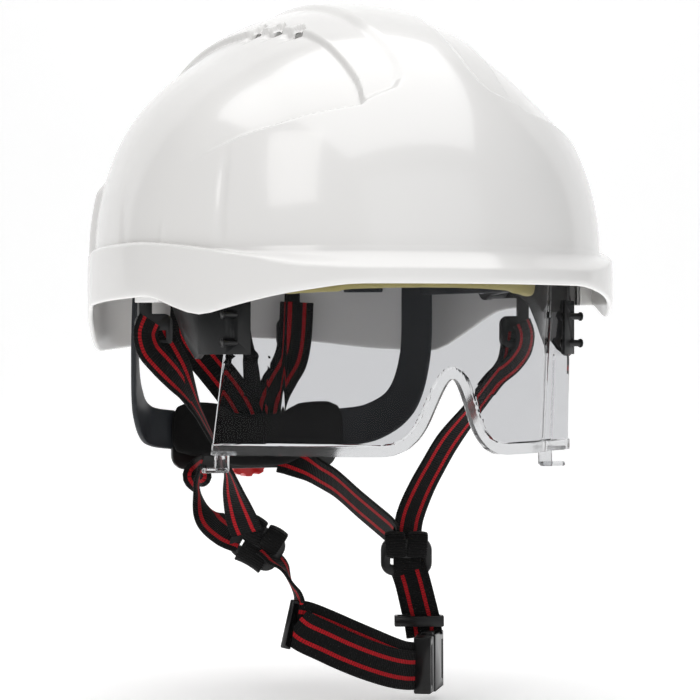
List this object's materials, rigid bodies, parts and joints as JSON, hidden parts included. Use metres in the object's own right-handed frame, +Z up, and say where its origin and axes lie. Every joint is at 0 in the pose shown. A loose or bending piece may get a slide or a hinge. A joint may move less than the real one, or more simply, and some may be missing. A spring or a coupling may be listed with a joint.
{
  "type": "hard hat",
  "caption": "Vented dome safety helmet with a swing-up clear lens, a wheel ratchet headband and a four point chin strap with side release buckle.",
  "frame": {"origin": "on the wearer's vertical head axis, level with the lower edge of the shell's front rim", "axes": "+Z up, -Y towards the wearer's front, +X towards the wearer's left"},
  "size_m": [0.228, 0.2795, 0.317],
  "materials": {
    "shell_white": "gloss",
    "brow_foam": "matt",
    "band_grey": "satin",
    "cradle_web": "matt",
    "nape_cloth": "matt",
    "fitting_black": "satin",
    "screw_steel": "satin",
    "wheel_red": "satin",
    "lens_clear": "gloss",
    "arm_grey": "satin",
    "webbing": "matt"
  },
  "bodies": {
    "helmet": {"shell": "shell_white", "brow_pad": "brow_foam", "headband_front": "band_grey", "headband_arm_left": "band_grey", "headband_arm_right": "band_grey", "crown_strap_lower": "cradle_web", "crown_strap_middle": "cradle_web", "crown_strap_upper": "cradle_web", "cradle_keys": "band_grey", "nape_hanger": "cradle_web", "nape_pad": "nape_cloth", "ratchet_housing": "fitting_black", "ratchet_cover": "fitting_black", "ratchet_screws": "screw_steel", "pivot_bracket_left": "arm_grey", "pivot_bracket_right": "arm_grey", "pivot_pin_left": "screw_steel", "pivot_pin_right": "screw_steel", "side_hook_left": "fitting_black", "side_hook_right": "fitting_black", "rear_hook_left": "fitting_black", "rear_hook_right": "fitting_black", "side_strap_left": "webbing", "side_strap_right": "webbing", "rear_strap_left": "webbing", "rear_strap_right": "webbing", "nape_strap_left": "webbing", "nape_strap_right": "webbing", "strap_divider_left": "fitting_black", "strap_divider_right": "fitting_black", "lower_strap_left": "webbing", "lower_strap_right": "webbing", "chin_strap": "webbing", "chin_strap_tail": "webbing", "tri_glide": "fitting_black", "buckle_socket": "fitting_black", "buckle_plug": "fitting_black", "strap_keeper": "fitting_black"},
    "visor": {"lens": "lens_clear", "lens_arm_left": "arm_grey", "lens_arm_right": "arm_grey", "lens_rivets": "fitting_black"},
    "wheel": {"size_wheel": "wheel_red", "pinion": "wheel_red"},
    "left_rack": {"rack_left": "band_grey"},
    "right_rack": {"rack_right": "band_grey"},
    "upper_prong": {"buckle_prong_upper": "fitting_black"},
    "lower_prong": {"buckle_prong_lower": "fitting_black"}
  },
  "joints": [
    {"name": "lens_swing", "type": "hinge", "parent": "helmet", "child": "visor", "pos_m": [0, 0.028, 0.005], "axis": [-1, 0, 0], "range_deg": [0, 32]},
    {"name": "wheel_turn", "type": "hinge", "parent": "helmet", "child": "wheel", "pos_m": [0, 0.115, -0.075], "axis": [0, 1, 0], "range_deg": [-180, 180]},
    {"name": "left_rack_slide", "type": "slide", "parent": "helmet", "child": "left_rack", "axis": [1, 0, 0], "range_m": [-0.0158, 0.0158]},
    {"name": "right_rack_slide", "type": "slide", "parent": "helmet", "child": "right_rack", "axis": [-1, 0, 0], "range_m": [-0.0158, 0.0158]},
    {"name": "upper_prong_press", "type": "slide", "parent": "helmet", "child": "upper_prong", "axis": [0, 0, -1], "range_m": [0, 0.002], "stiffness_N_per_m": 600, "springref_m": -0.0005},
    {"name": "lower_prong_press", "type": "slide", "parent": "helmet", "child": "lower_prong", "axis": [0, 0, 1], "range_m": [0, 0.002], "stiffness_N_per_m": 600, "springref_m": -0.0005}
  ],
  "couplings": [
    {"joint": "left_rack_slide", "follows": "wheel_turn", "m_per_rad": 0.005},
    {"joint": "right_rack_slide", "follows": "wheel_turn", "m_per_rad": 0.005}
  ]
}
